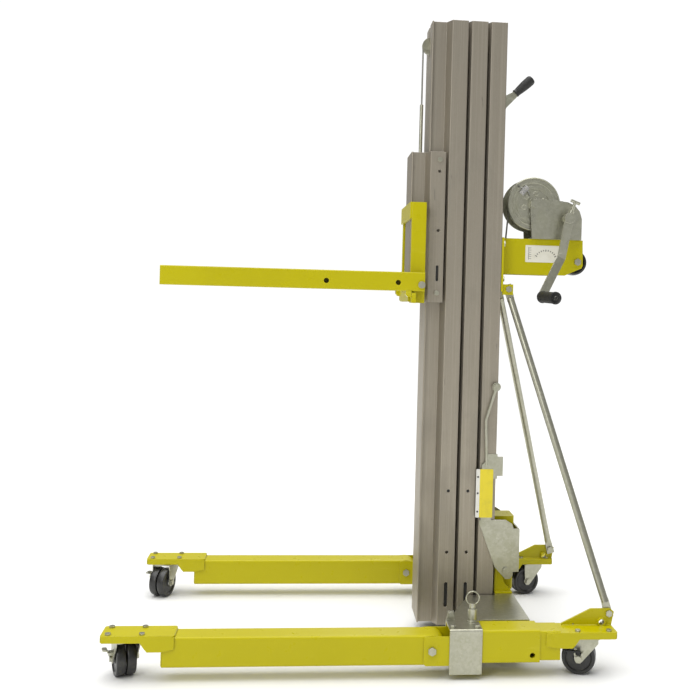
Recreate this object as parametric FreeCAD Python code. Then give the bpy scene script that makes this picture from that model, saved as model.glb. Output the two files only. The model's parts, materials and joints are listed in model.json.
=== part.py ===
import FreeCAD, Part
import math
import os

V = FreeCAD.Vector
OUT = "parts"
os.makedirs(OUT, exist_ok=True)

# Driving dimensions, millimetres. +Z up, forks toward -Y, winch toward +Y, origin on the floor
# under the middle of the bounding box. "left" is +X, the operator's left hand at the winch.
LEG_OUT = 400.5            # outer face of each base leg sleeve
LEG_IN = 320.5             # inner face of each base leg sleeve
TIP_Y = 648.5              # front and rear ends of the caster plates
LEG_FRONT = -500.0         # front end of the front leg tube
LEG_BOTTOM, LEG_TOP = 36.0, 112.0
PIVOT = (169.0, 74.0)      # leg fold pin, (y, z)
SLEEVE_Y = (213.0, 446.0)
SLEEVE_Z = (41.0, 125.0)
SADDLE_Y = (213.0, 296.0)
SWIVEL_X = 360.5           # caster kingpin, each side
SWIVEL_FRONT, SWIVEL_REAR = -590.0, 587.0
PLATE_Z = 112.0            # underside of the caster plates
BOLT_DX, BOLT_DY = 28.0, 41.0
WHEEL_R, WHEEL_W, TRAIL = 44.0, 25.0, 28.0
LEVER_Z = 58.0             # brake lever hinge height

MAST_Z = (40.0, 1747.0)
MAST_HALF = 92.0          # outside half width of a mast section
MAST_WALL = 4.0
MAST_PITCH = 56.0
SHOULDER = 55.0            # step of the side wall, behind the front of a section
MAST_Y0 = 164.0            # front face of the third section, the others step back by the pitch
MAST_DEPTH = 101.0
CARRIAGE_Y0 = 115.0
CARRIAGE_DEPTH = 96.0
CARRIAGE_SHOULDER = 52.0
CARRIAGE_Z = (950.0, 1374.0)

CABLE_R = 2.4
TOP_SHEAVE_Z, TOP_SHEAVE_R = 1690.0, 22.0
LOW_SHEAVE_Z, LOW_SHEAVE_R = 110.0, 20.0
ANCHOR_Z = 1520.0

FORK_X = (144.0, 182.0)
FORK_Y = (-559.0, 150.0)
FORK_Z = (979.0, 1031.0)
FORK_PIN = (141.0, 997.0)

DRUM = (474.0, 1240.0)
DRUM_R, DRUM_CORE = 77.0, 32.0
CRANK = (565.0, 1198.0)
GEAR_R, PINION_R = 72.0, 28.2   # pitch radii, 46 and 18 teeth
COIL_R = 57.0              # winding radius of the cable on the full drum
ARM_X, KNEE, GRIP_BASE = 112.0, (544.0, 1086.0), (154.0, 481.0, 973.0)
LOAD_WHEEL = (606.0, 1076.0)
LOAD_WHEEL_R = 38.0
HOLD_PIVOT = (370.0, 715.0)
BRACE_TOP, BRACE_LOW = (79.0, 400.0, 992.0), (331.0, 641.0, 148.0)


def box(x0, x1, y0, y1, z0, z1):
    return Part.makeBox(x1 - x0, y1 - y0, z1 - z0, V(x0, y0, z0))


def rounded(shape, radius, axis):
    """Rounds every straight edge of a box that runs along the axis."""
    edges = []
    for e in shape.Edges:
        a, b = e.Vertexes[0].Point, e.Vertexes[-1].Point
        if (b - a).normalize().isEqual(axis, 1e-6) or (a - b).normalize().isEqual(axis, 1e-6):
            edges.append(e)
    return shape.makeFillet(radius, edges)


X, Y, Z = V(1, 0, 0), V(0, 1, 0), V(0, 0, 1)


def cyl_x(x0, x1, y, z, r):
    return Part.makeCylinder(r, x1 - x0, V(x0, y, z), X)


def cyl_y(y0, y1, x, z, r):
    return Part.makeCylinder(r, y1 - y0, V(x, y0, z), Y)


def cyl_z(z0, z1, x, y, r):
    return Part.makeCylinder(r, z1 - z0, V(x, y, z0), Z)


def rod(a, b, r):
    a, b = V(*a), V(*b)
    return Part.makeCylinder(r, (b - a).Length, a, b - a)


def prism(points, vector):
    wire = Part.makePolygon([V(*p) for p in points] + [V(*points[0])])
    return Part.Face(wire).extrude(vector)


def plate_yz(points, x0, x1):
    return prism([(x0, y, z) for y, z in points], V(x1 - x0, 0, 0))


def plate_xy(points, z0, z1):
    return prism([(x, y, z0) for x, y in points], V(0, 0, z1 - z0))


def plate_xz(points, y0, y1):
    return prism([(x, y0, z) for x, z in points], V(0, y1 - y0, 0))


def fuse(shapes):
    out = shapes[0]
    if len(shapes) > 1:
        out = shapes[0].multiFuse(shapes[1:])
    return out.removeSplitter()


def mirror(shape):
    return shape.mirror(V(0, 0, 0), X)


def both(shape):
    return [shape, mirror(shape)]


def tube_y(x0, x1, y0, y1, z0, z1, wall, radius):
    outer = rounded(box(x0, x1, y0, y1, z0, z1), radius, Y)
    return outer.cut(box(x0 + wall, x1 - wall, y0 - 1, y1 + 1, z0 + wall, z1 - wall))


def hexagon(centre, axis, across, height):
    """A six-sided bolt head or nut standing on a point along an axis."""
    r = across / math.sqrt(3.0)
    pts = [V(r * math.cos(math.radians(60 * k)), r * math.sin(math.radians(60 * k)), 0) for k in range(6)]
    solid = Part.Face(Part.makePolygon(pts + [pts[0]])).extrude(V(0, 0, height))
    solid.Placement = FreeCAD.Placement(V(*centre), FreeCAD.Rotation(Z, axis))
    return solid


def bolt(a, b, r, across, head):
    """A bolt from head side a to nut side b: shank, head and nut in one solid."""
    pa, pb = V(*a), V(*b)
    d = (pb - pa).normalize()
    shank = Part.makeCylinder(r, (pb - pa).Length, pa, d)
    return fuse([shank, hexagon(a, -d, across, head), hexagon(b, d, across, head)])


def trimmed(piece, neighbour):
    """A piece cut back where it would run into the piece it is fitted to."""
    return max(piece.cut(neighbour).Solids, key=lambda s: s.Volume)


def save(name, shapes):
    shape = shapes if isinstance(shapes, Part.Shape) else Part.makeCompound(shapes)
    shape.exportStep(os.path.join(OUT, name + ".step"))


def put_pair(name, left):
    """Writes the same piece for both sides of the lift."""
    save(name + "_left", left)
    save(name + "_right", mirror(left))


# ---------------------------------------------------------------- base legs

def caster_deck(y_tip, sign, root):
    """The plate a caster bolts under, with turned-down lips that deepen behind the wheels."""
    lo, hi = min(y_tip, root), max(y_tip, root)
    deck = rounded(box(LEG_IN, LEG_OUT, lo, hi, PLATE_Z, PLATE_Z + 5), 6, Z)
    shallow, deep = PLATE_Z - 12.5, 77.0
    centre = SWIVEL_FRONT if sign < 0 else SWIVEL_REAR
    inward = -sign
    c = [centre + inward * d for d in (38.0, 43.0, 48.0, 55.0)]
    lip = [(y_tip - sign * 4, PLATE_Z + 1), (y_tip - sign * 4, shallow), (c[0], shallow), (c[1], 92.0), (c[2], 85.0),
           (c[3], deep), (root - inward * 30, deep), (root, 84.0), (root, PLATE_Z + 1)]
    sides = [plate_yz(lip, LEG_IN, LEG_IN + 3.5), plate_yz(lip, LEG_OUT - 3.5, LEG_OUT)]
    end = box(LEG_IN + 5, LEG_OUT - 5, min(y_tip, y_tip - sign * 4), max(y_tip, y_tip - sign * 4), shallow, PLATE_Z + 1)
    deck = fuse([deck, end] + sides)
    for dx in (-BOLT_DX, BOLT_DX):
        for dy in (-BOLT_DY, BOLT_DY):
            deck = deck.cut(cyl_z(90, 125, SWIVEL_X + dx, centre + dy, 4.5))
    return deck


def front_leg():
    x0, x1 = LEG_IN + 4.5, LEG_OUT - 4.5
    py, pz = PIVOT
    body = rounded(box(x0, x1, LEG_FRONT, py, LEG_BOTTOM, LEG_TOP), 6, Y)
    tail = cyl_x(x0, x1, py, pz, LEG_TOP - pz)
    hollow = box(x0 + 4, x1 - 4, LEG_FRONT + 4, py, LEG_BOTTOM + 4, LEG_TOP - 4)
    tail_hollow = cyl_x(x0 + 4, x1 - 4, py, pz, LEG_TOP - pz - 4)
    tube = fuse([body, tail]).cut(fuse([hollow, tail_hollow]))
    tube = fuse([tube, cyl_x(x0, x1, py, pz, 14)])
    deck = caster_deck(-TIP_Y, -1, -470.0)
    weld = deck.common(box(x0, x1, LEG_FRONT, 0, LEG_BOTTOM, LEG_TOP))
    leg = fuse([tube, deck.cut(weld)])
    return leg.cut(cyl_x(x0 - 1, x1 + 1, py, pz, 8.05))


def sleeve():
    y0, y1 = SLEEVE_Y
    z0, z1 = SLEEVE_Z
    tube = tube_y(LEG_IN, LEG_OUT, y0, y1, z0, z1, 3.5, 6)
    cheek = rounded(box(LEG_IN, LEG_IN + 3.5, 148, y0 + 17, LEG_BOTTOM, 110), 8, X)
    other = cheek.translated(V(LEG_OUT - 3.5 - LEG_IN, 0, 0))
    body = fuse([tube, cheek, other])
    for hole in (cyl_x(LEG_IN - 1, LEG_OUT + 1, PIVOT[0], PIVOT[1], 8.05),
                 cyl_x(LEG_IN - 1, LEG_OUT + 1, 427, 60, 7),
                 cyl_z(z1 - 5, z1 + 1, 340, 279, 5.6)):
        body = body.cut(hole)
    return body


def outrigger():
    """Rear caster arm: a tube inside the sleeve with a caster plate and a brace gusset welded on."""
    x0, x1 = LEG_IN + 4, LEG_OUT - 4
    tube = tube_y(x0, x1, 240, 500, SLEEVE_Z[0] + 4, SLEEVE_Z[1] - 4, 4, 5)
    tube = tube.cut(cyl_x(x0 - 1, x1 + 1, 427, 60, 7)).cut(cyl_z(115, 124, 340, 279, 5.6))
    deck = caster_deck(TIP_Y, 1, 462.0)
    deck = deck.cut(box(x0 + 4, x1 - 4, 455, 492, 40, SLEEVE_Z[1] - 8))
    gusset = plate_yz([(515, PLATE_Z + 4), (515, 122), (592, 160), (645, 160), (655, 152), (648, PLATE_Z + 4)], 334, 340)
    stub = cyl_x(325, 347, 621, 126, 11)
    arm = fuse([tube, deck, gusset, stub])
    for dx in (-BOLT_DX, BOLT_DX):
        for dy in (-BOLT_DY, BOLT_DY):
            x, y = SWIVEL_X + dx, SWIVEL_REAR + dy
            arm = arm.cut(cyl_z(PLATE_Z + 5, PLATE_Z + 10.2, x, y, 7.8)).cut(cyl_z(PLATE_Z - 1, PLATE_Z + 5, x, y, 4.2))
    return arm.cut(cyl_x(320, 350, 621, 126, 8)).cut(cyl_x(330, 345, BRACE_LOW[1], BRACE_LOW[2], 5.1))


def saddle():
    """Strap folded over a leg sleeve, with the plunger barrel and a bolt ear on top."""
    y0, y1 = SADDLE_Y
    x0, x1 = LEG_IN - 4.2, LEG_OUT + 4.2
    outer = rounded(box(x0, x1, y0, y1, -40, 129), 5, Y)
    inner = box(x0 + 4, x1 - 4, y0 - 1, y1 + 1, -50, SLEEVE_Z[1] + 0.1)
    strap = outer.cut(inner).common(box(300, 420, 200, 300, 15, 140))
    ear = plate_yz([(214, 128), (236, 128), (232, 152), (218, 152)], 322, 327)
    body = fuse([strap, ear, plunger_barrel()]).cut(cyl_x(320, 330, 225, 144, 4.1))
    return body.cut(cyl_z(120, 170, 340, 279, 5.05))


def plunger_barrel():
    return fuse([cyl_z(128, 163, 340, 279, 12), cyl_z(128, 134, 340, 279, 16)])


def plunger_pin():
    pin = cyl_z(114, 172, 340, 279, 5)
    head = cyl_z(163.4, 176, 340, 279, 8)
    ring = Part.makeTorus(17, 1.6, V(340, 279, 189.5), X)
    return fuse([pin, head, ring])


def cross_member():
    """Zinc-plated weldment: a folded plate behind the mast with a saddle over each leg sleeve."""
    outline = [(317, 218), (317, 296), (316, 296), (316, 436), (-316, 436), (-316, 296), (-317, 296), (-317, 218),
               (-98, 308), (-98, 382), (98, 382), (98, 308)]
    top = plate_xy(outline, 119, 125)
    saddles = both(saddle())
    rear = box(-316, 316, 430, 436, 70, 122)
    fore = box(-316, 316, 382, 388, 60, 122)
    ribs = [box(x, x + 6, 308, 436, 60, 122) for x in (-104, 98)]
    wings = [plate_xy([(316, 218), (316, 225), (104, 317), (98, 315), (98, 308)], 80, 122)]
    return fuse([top, rear, fore] + ribs + wings + [mirror(wings[0])] + saddles)


def rear_pillar():
    post = rounded(box(-38, 38, 384, 444, 125.2, 336), 6, Z)
    post = post.cut(box(-33, 33, 389, 439, 120, 331))
    foot = box(-85, 85, 384, 434, 125.2, 131)
    curve = [(384, 131), (434, 131), (415, 150), (402, 180), (396, 215), (384, 215)]
    fins = [plate_yz(curve, 70, 75), plate_yz(curve, -75, -70)]
    ties = [box(-76, 76, 384, 389, 131, 215)]
    return fuse([post, foot] + fins + ties)


def tie_bracket():
    """Zinc-plated side plates and rear web that clamp the fixed mast section to the pillar."""
    side = [(332, 338), (409, 337), (427, 326), (432, 312), (432, 180), (424, 170), (411, 170), (380, 203), (332, 328)]
    plates = both(plate_yz(side, MAST_HALF + 0.2, MAST_HALF + 4.2))
    web = box(-MAST_HALF - 1, MAST_HALF + 1, 445, 449, 190, 312)
    m = MAST_HALF
    wrap = [plate_xy([(m + 0.2, 428), (m + 4.2, 428), (m + 4.2, 449), (m - 14, 449), (m - 14, 445), (m + 0.2, 445)],
                     190, 312)]
    return fuse(plates + [web] + wrap + [mirror(wrap[0])])


# ---------------------------------------------------------------- mast

def section_outline(y0, depth, step):
    """Hat profile: a front web with small lips, and side walls that step out at the shoulder."""
    m, w = MAST_HALF, MAST_WALL
    nose, web = m - 21, m - 30
    half = [(nose, y0), (nose, y0 + w), (web, y0 + w), (web, y0 + step - 13), (m, y0 + step), (m, y0 + depth),
            (m - w, y0 + depth), (m - w, y0 + step + 2.6), (web - w, y0 + step - 10.4), (web - w, y0 + w)]
    return half + [(-x, y) for x, y in reversed(half)]


def extrusion(y0, depth, step, z0, z1):
    """Length of the mast profile with its outside corners rounded."""
    body = plate_xy(section_outline(y0, depth, step), z0, z1)
    corners = ((MAST_HALF, y0 + step), (MAST_HALF, y0 + depth), (MAST_HALF - 21, y0))
    edges = []
    for e in body.Edges:
        a, b = e.Vertexes[0].Point, e.Vertexes[-1].Point
        upright = abs(a.x - b.x) + abs(a.y - b.y) < 1e-6
        if upright and any(abs(abs(a.x) - x) + abs(a.y - y) < 1e-6 for x, y in corners):
            edges.append(e)
    return body.makeFillet(2.5, edges)


def mast_section(y0, holes):
    z0, z1 = MAST_Z
    body = extrusion(y0, MAST_DEPTH, SHOULDER, z0, z1)
    mid = y0 + 78
    if holes:
        for z in (245, 418):
            body = body.cut(cyl_x(-150, 150, mid, z, 4.5))
        slot = rounded(box(-150, 150, mid - 5, mid + 5, 90, 160), 4.9, X)
        body = body.cut(slot)
    return body.cut(box(-12, 12, y0 - 1, y0 + MAST_WALL + 1, TOP_SHEAVE_Z - 34, z1 + 1))


def sheave(y, z, r):
    """Grooved cable wheel on a running fit over its axle pin."""
    groove = Part.makeTorus(r, CABLE_R + 0.35, V(0, y, z), X)
    half = CABLE_R + 0.35
    mouth = cyl_x(-half, half, y, z, r + 4).cut(cyl_x(-half, half, y, z, r))
    return cyl_x(-5.5, 5.5, y, z, r + 3).cut(groove).cut(mouth).cut(cyl_x(-6, 6, y, z, 5.05))


def hangers(y0, y, z, z_flange, reach):
    """Two angle brackets off the mast web and the axle pin they hold."""
    out = []
    lo, hi = min(z - 12, z_flange[0]), max(z + 12, z_flange[1])
    for s in (1, -1):
        cheek = box(7, 10, y0 + MAST_WALL + 0.1, y0 + reach, lo, hi)
        if y < y0 + MAST_WALL + 12:
            cheek = fuse([cheek, box(7, 10, y - 13, y0 + reach, z - 12, z + 12)])
        foot = box(7, 30, y0 + MAST_WALL + 0.1, y0 + MAST_WALL + 3.1, z_flange[0], z_flange[1])
        part = fuse([cheek, foot])
        out.append(part if s > 0 else mirror(part))
    pin = cyl_x(-14, 14, y, z, 5)
    return [fuse([out[0], out[1], pin])]


def top_sheave_y(y0):
    return y0 + 4.0


def low_sheave_y(y0):
    return y0 + 28.0


def glide_pads(y0, z_list):
    """Plastic glide blocks inside the side walls, running in the channel of the section behind."""
    x0, x1 = MAST_HALF - 29.4, MAST_HALF - MAST_WALL
    front = y0 + MAST_PITCH + MAST_WALL + 0.5
    return [b for z in z_list for b in both(box(x0, x1, front, front + 27.5, z, z + 60))]


def carriage_pads():
    x0, x1 = MAST_HALF - 29.4, MAST_HALF - MAST_WALL
    front = MAST_Y0 + MAST_WALL + 0.5
    return [b for z in (1000, 1245) for b in both(box(x0, x1, front, front + 27.5, z, z + 60))]


def carriage():
    z0, z1 = CARRIAGE_Z
    body = extrusion(CARRIAGE_Y0, CARRIAGE_DEPTH, CARRIAGE_SHOULDER, z0, z1)
    mid = CARRIAGE_Y0 + 78
    for z in (1319, 1152):
        body = body.cut(cyl_x(-150, 150, mid, z, 4.5))
    body = body.cut(rounded(box(-150, 150, mid - 4, mid + 4, 1009, 1054), 3.9, X))
    for z in (976, 1352):
        body = body.cut(cyl_x(-150, 150, mid, z, 4.1))
    return body


def carriage_bolts():
    m, mid = MAST_HALF, CARRIAGE_Y0 + 78
    one = [bolt((m, mid, z), (m - MAST_WALL, mid, z), 4, 13, 5) for z in (976, 1352)]
    return [s for b in one for s in both(b)]


def fork_frame():
    """Welded frame over the carriage nose: two uprights, front cross bars and heel stops."""
    upright = rounded(box(126, 143, 113, 154, 947, 1226), 3, Z)
    stop = box(142, FORK_X[1], 114, 126, 947, 975)
    bars = [box(-142, 142, 108, CARRIAGE_Y0 - 0.1, z, z + 46) for z in (950, 1180)]
    frame = fuse(both(upright) + both(stop) + bars)
    for s in (1, -1):
        x0, x1 = sorted((s * 120, s * 150))
        frame = frame.cut(cyl_x(x0, x1, FORK_PIN[0], FORK_PIN[1], 8.05))
    return frame


def fork():
    x0, x1 = FORK_X
    tube = tube_y(x0, x1, FORK_Y[0], FORK_Y[1], FORK_Z[0], FORK_Z[1], 3.5, 4)
    cap = box(x0 + 3, x1 - 3, FORK_Y[0], FORK_Y[0] + 3, FORK_Z[0] + 3, FORK_Z[1] - 3)
    heel = plate_yz([(98, 981), (98, 970), (104, 963), (113.4, 963), (113.4, 981)], x0, x1)
    body = fuse([tube, cap, heel])
    for y in (-118.0, 77.0):
        body = body.cut(cyl_x(x1 - 5, x1 + 1, y, 1002, 7))
    return body.cut(cyl_x(x0 - 1, x1 + 1, FORK_PIN[0], FORK_PIN[1], 8.05))


def fork_pin():
    y, z = FORK_PIN
    return fuse([cyl_x(117, 188, y, z, 8), cyl_x(FORK_X[1] + 0.5, 189, y, z, 9.5)])


def cable_anchor():
    y = top_sheave_y(MAST_Y0) - TOP_SHEAVE_R
    lug = box(-12, 12, CARRIAGE_Y0 + MAST_WALL + 0.1, y + 6, 1330, 1352)
    return fuse([lug, cyl_z(1330, ANCHOR_Z, 0, y, 5.0)])


# ---------------------------------------------------------------- winch and rear

def winch_bracket():
    plate = box(-MAST_HALF, MAST_HALF, 377.2, 383, 985, 1139)
    side = [(382, 1036), (569, 1036), (618, 1058), (622, 1066), (620, 1139), (382, 1139)]
    sides = both(plate_yz(side, 51, 55))
    top = box(-55, 55, 382, 620, 1135, 1139)
    lugs = both(box(82, 87, 382, 413, 976, 1006))
    body = fuse([plate, top] + sides + lugs).cut(box(-12, 12, 396, 424, 1130, 1141))
    body = body.cut(cyl_x(-95, 95, BRACE_TOP[1], BRACE_TOP[2], 5.1))
    body = body.cut(cyl_x(-60, 60, LOAD_WHEEL[0], LOAD_WHEEL[1], 6.05))
    for x in (-70, 70):
        for z in (1022, 1122):
            body = body.cut(cyl_y(370, 390, x, z, 5.1))
    return body


def winch_frame():
    side = [(468, 1139.2), (613, 1139.2), (613, 1200), (606, 1222), (592, 1238), (572, 1247), (545, 1251),
            (490, 1254), (462, 1254), (462, 1226)]
    near = plate_yz(side, 62, 66)
    far = plate_yz(side, -52, -48)
    base = box(-52, 66, 472, 613, 1139.2, 1143.2)
    frame = fuse([near, far, base])
    for c, r in ((DRUM, 8.05), (CRANK, 8.05)):
        frame = frame.cut(cyl_x(-60, 70, c[0], c[1], r))
    return frame


def winch_drum():
    y, z = DRUM
    core = cyl_x(-30, 46, y, z, DRUM_CORE)
    flanges = [cyl_x(-34, -30, y, z, DRUM_R), cyl_x(46, 50, y, z, DRUM_R)]
    dish = cyl_x(50, 53, y, z, 52).cut(cyl_x(49, 54, y, z, 44))
    gear = cyl_x(-46, -38, y, z, GEAR_R - 3.7)
    hub = cyl_x(-47, -34, y, z, 24)
    body = fuse([core] + flanges + [dish, gear, hub, cyl_x(50, 61.5, y, z, 16)])
    return body.cut(cyl_x(-60, 70, y, z, 8.05))


def drum_axle():
    y, z = DRUM
    return fuse([cyl_x(-56, 70, y, z, 8), hexagon((66.2, y, z), X, 24, 8), hexagon((-52.2, y, z), -X, 24, 8)])


def cable_on_drum():
    """The wound cable: a sleeve of turns filling the drum between its flanges."""
    y, z = DRUM
    bed = cyl_x(-29.9, 45.9, y, z, COIL_R - CABLE_R * 0.2)
    turns = [Part.makeTorus(COIL_R, CABLE_R, V(-27.2 + 5.15 * k, y, z), X) for k in range(15)]
    return fuse([bed] + turns).cut(cyl_x(-40, 60, y, z, DRUM_CORE))


def crank():
    """Pinion shaft, hub and flat arm, bent once and pitched outward to the grip."""
    y, z = CRANK
    shaft = cyl_x(-54, 116, y, z, 8)
    pinion = cyl_x(-46, -38, y, z, PINION_R - 3.7)
    hub = cyl_x(88, 120, y, z, 15)
    upper = bar_between((ARM_X, y, z), (ARM_X, *KNEE), 24, 6)
    lower = bar_between((ARM_X, *KNEE), GRIP_BASE, 24, 6)
    knee = cyl_x(ARM_X - 3, ARM_X + 3.6, KNEE[0], KNEE[1], 12)
    base = V(*GRIP_BASE) - grip_axis() * 4
    eye = Part.makeCylinder(12, 8, base, grip_axis())
    spindle = Part.makeCylinder(5, 106, base, grip_axis())
    return fuse([shaft, pinion, hub, upper, lower, knee, eye, spindle] + thumb_screw())


def grip_axis():
    return V(90, 15, -2).normalize()


def bar_between(p, q, width, thick):
    """A flat bar between two points, its broad face toward +X."""
    p, q = V(*p), V(*q)
    d = (q - p).normalize()
    side = d.cross(X).normalize()
    up = side.cross(d).normalize()
    corners = [p + side * (i * width / 2) + up * (j * thick / 2) for i, j in ((1, 1), (-1, 1), (-1, -1), (1, -1))]
    return Part.Face(Part.makePolygon(corners + [corners[0]])).extrude(q - p)


def crank_grip():
    base = V(*GRIP_BASE) + grip_axis() * 4.6
    body = Part.makeCylinder(17.5, 96, base, grip_axis())
    body = body.makeFillet(5, [e for e in body.Edges if e.Curve.TypeId == "Part::GeomCircle"])
    return body.cut(Part.makeCylinder(5.06, 120, V(*GRIP_BASE), grip_axis()))


def thumb_screw():
    """Clamp screw of the crank hub with its tee head, and the collar it runs through."""
    d = V(0, 16, 43).normalize()
    base = V(104, CRANK[0], CRANK[1]) + d * 10
    stem = Part.makeCylinder(4.5, 40, base, d)
    collar = Part.makeCylinder(8, 12, base, d)
    across = V(0, 14.0, -5.2).normalize()
    tee = Part.makeCylinder(4.5, 28, base + d * 40 - across * 14, across)
    return [stem, collar, tee]


def load_wheel():
    y, z = LOAD_WHEEL
    tyre = cyl_x(-22, 22, y, z, LOAD_WHEEL_R)
    tyre = tyre.makeFillet(5, [e for e in tyre.Edges if e.Curve.TypeId == "Part::GeomCircle"])
    return fuse([tyre, cyl_x(-44, 44, y, z, 14)]).cut(cyl_x(-50, 50, y, z, 6.05))


def push_handle():
    """Flat bar from inside the left wall of the fixed section, rising rearward."""
    wall = MAST_HALF - MAST_WALL
    bar = plate_yz([(359, 1498), (375, 1498), (380, 1508), (410, 1540), (445, 1575), (433, 1587), (396, 1552),
                    (359, 1532)], wall - 6.1, wall - 0.1)
    return bar


def push_grip():
    d = V(0, 45, 42).normalize()
    base = V(MAST_HALF - MAST_WALL - 3.1, 404, 1548)
    body = Part.makeCylinder(15, 66, base, d)
    body = body.makeFillet(4, [e for e in body.Edges if e.Curve.TypeId == "Part::GeomCircle"])
    return body


def hold_down():
    """Bent rod with an eye, welded to a pointed flat strap."""
    x = MAST_HALF + 9
    y, z = HOLD_PIVOT
    eye = cyl_x(x - 4, x + 4, y, z, 12)
    p = [(x, y, z), (x, 343, 622), (x, 348, 493)]
    parts = [eye, rod(p[0], p[1], 4), rod(p[1], p[2], 4), Part.makeSphere(4, V(*p[1]))]
    strap = plate_yz([(335, 336), (364, 336), (364, 493), (349, 507), (335, 493)], x - 4, x - 0.5)
    return fuse(parts + [strap]).cut(cyl_x(x - 10, x + 10, y, z, 5.05))


def frame_bolts():
    """Fasteners of the fixed frame: leg pins, brace bolts, axles, mount studs and rear caster bolts."""
    out = both(bolt((LEG_OUT + 0.2, *PIVOT), (LEG_IN - 0.2, *PIVOT), 8, 19, 7))
    x, y, z = BRACE_LOW
    out += both(bolt((340.2, y, z), (x - 2.7, y, z), 5, 16, 6))
    x, y, z = BRACE_TOP
    out += both(bolt((87.2, y, z), (x - 2.7, y, z), 5, 16, 6))
    out += [drum_axle(), bolt((55.2, *LOAD_WHEEL), (-55.2, *LOAD_WHEEL), 6, 18, 6)]
    out += both(bolt((327.2, 225, 144), (321.8, 225, 144), 4, 13, 5))
    out += both(hexagon((385, 224, 129.1), Z, 13, 6)) + both(hexagon((385, 286, 129.1), Z, 13, 6))
    out += [hexagon((sx * 70, 383.2, z), Y, 16, 6) for sx in (-1, 1) for z in (1022, 1122)]
    out += both(fuse([cyl_x(MAST_HALF + 4.4, MAST_HALF + 11, 411, 195, 9), cyl_x(MAST_HALF + 4.4, MAST_HALF + 13, 411, 195, 6)]))
    y, z = HOLD_PIVOT
    out += [fuse([cyl_x(MAST_HALF + 0.2, MAST_HALF + 14, y, z, 5), hexagon((MAST_HALF + 13.5, y, z), X, 16, 6)])]
    for side in (1, -1):
        out += caster_bolts(side * SWIVEL_X, SWIVEL_REAR)
    return out


def clip():
    x = MAST_HALF
    foot = box(x + 0.2, x + 3.2, 347, 380, 454, 524)
    tab = box(x + 0.2, x + 3.2, 376, 396, 462, 517)
    return fuse([foot, tab])


def brace():
    """Round tube whose two ends are flattened into drilled tabs."""
    top, low = V(*BRACE_TOP), V(*BRACE_LOW)
    run = (low - top).normalize()
    run = V(0, run.y, run.z).normalize()
    side = run.cross(X)
    tabs, ends = [], []
    for p, way in ((top, 1), (low, -1)):
        a, b = p - run * (14 * way), p + run * (36 * way)
        corners = [a + side * 12, a - side * 12, b - side * 10, b + side * 10]
        corners = [c - X * 2.5 for c in corners]
        tabs.append(Part.Face(Part.makePolygon(corners + [corners[0]])).extrude(X * 5))
        ends.append(p + run * (27 * way))
    length = (ends[1] - ends[0]).Length
    tube = Part.makeCylinder(10, length, ends[0], ends[1] - ends[0])
    body = fuse([tube] + tabs)
    for p in (top, low):
        body = body.cut(cyl_x(p.x - 20, p.x + 20, p.y, p.z, 5.1))
    return body


# ---------------------------------------------------------------- casters

def caster_plate(x, y):
    top = rounded(box(x - 38, x + 38, y - 50, y + 50, PLATE_Z - 4, PLATE_Z), 6, Z)
    race = cyl_z(103.3, PLATE_Z - 4, x, y, 26)
    body = fuse([top, race]).cut(cyl_z(95, 120, x, y, 6.05))
    for dx in (-BOLT_DX, BOLT_DX):
        for dy in (-BOLT_DY, BOLT_DY):
            body = body.cut(cyl_z(90, 125, x + dx, y + dy, 4.1))
    return body


def caster_bolts(x, y):
    pts = [(x + dx, y + dy) for dx in (-BOLT_DX, BOLT_DX) for dy in (-BOLT_DY, BOLT_DY)]
    return [bolt((px, py, PLATE_Z + 5), (px, py, PLATE_Z - 4), 4, 13, 5) for px, py in pts]


def turned(shape, x, y, az):
    """Places a caster piece drawn with its trail along +Y at a kingpin, trail turned to az."""
    shape = shape.copy()
    shape.rotate(V(0, 0, 0), Z, az - 90)
    shape.translate(V(x, y, 0))
    return shape


def caster_fork():
    race = cyl_z(98.5, 103, 0, 0, 27)
    crown = rounded(box(-30, 30, -26, 40, 95, 98.6), 10, Z)
    arm = [(-22, 97), (40, 97), (40, 84), (37, 38), (33, 32), (23, 32), (17, 38), (-22, 86)]
    arms = both(plate_yz(arm, 27, 30))
    axle = fuse([cyl_x(-33, 33, TRAIL, 44, 5), hexagon((30.1, TRAIL, 44), X, 15, 6), hexagon((-30.1, TRAIL, 44), -X, 15, 6)])
    pin = cyl_z(95, 111.5, 0, 0, 6)
    return fuse([race, crown, pin, axle] + arms)


def caster_wheels():
    out = []
    for x0 in (-WHEEL_W - 0.75, 0.75):
        w = cyl_x(x0, x0 + WHEEL_W, TRAIL, 44, WHEEL_R)
        w = w.makeFillet(7, [e for e in w.Edges if e.Curve.TypeId == "Part::GeomCircle"])
        out.append(w)
    spacer = cyl_x(-2, 2, TRAIL, 44, 14)
    return fuse(out + [spacer]).cut(cyl_x(-40, 40, TRAIL, 44, 5.05))


def brake_lever(rear):
    """Side lever hinged on lugs outside the fork arm, with an oval pad to step on."""
    y, z = TRAIL, LEVER_Z
    hub = cyl_y(y - 7, y + 7, 36.5, z, 3.5)
    arm = plate_xz([(35, z + 1), (38.5, z - 1.5), (45, 66), (43, 69)], y - 5, y + 5)
    pad = rounded(box(42, 52 if rear else 54, y - 6 if rear else y - 12, y + 34 if rear else y + 12, 66, 70), 4.5, Z)
    return fuse([hub, arm, pad]).cut(cyl_y(y - 10, y + 10, 36.5, z, 1.55))


def lever_lug():
    y, z = TRAIL, LEVER_Z
    ears = [box(29.5, 40, y + a, y + a + 3, z - 3.5, z + 3.5) for a in (-11, 8)]
    return fuse(ears + [cyl_y(y - 11, y + 11, 36.5, z, 1.5)])


CASTERS = (("front_left", 1, SWIVEL_FRONT, -160, True), ("front_right", -1, SWIVEL_FRONT, -20, False),
           ("rear_left", 1, SWIVEL_REAR, -107, True), ("rear_right", -1, SWIVEL_REAR, -73, False))


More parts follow.
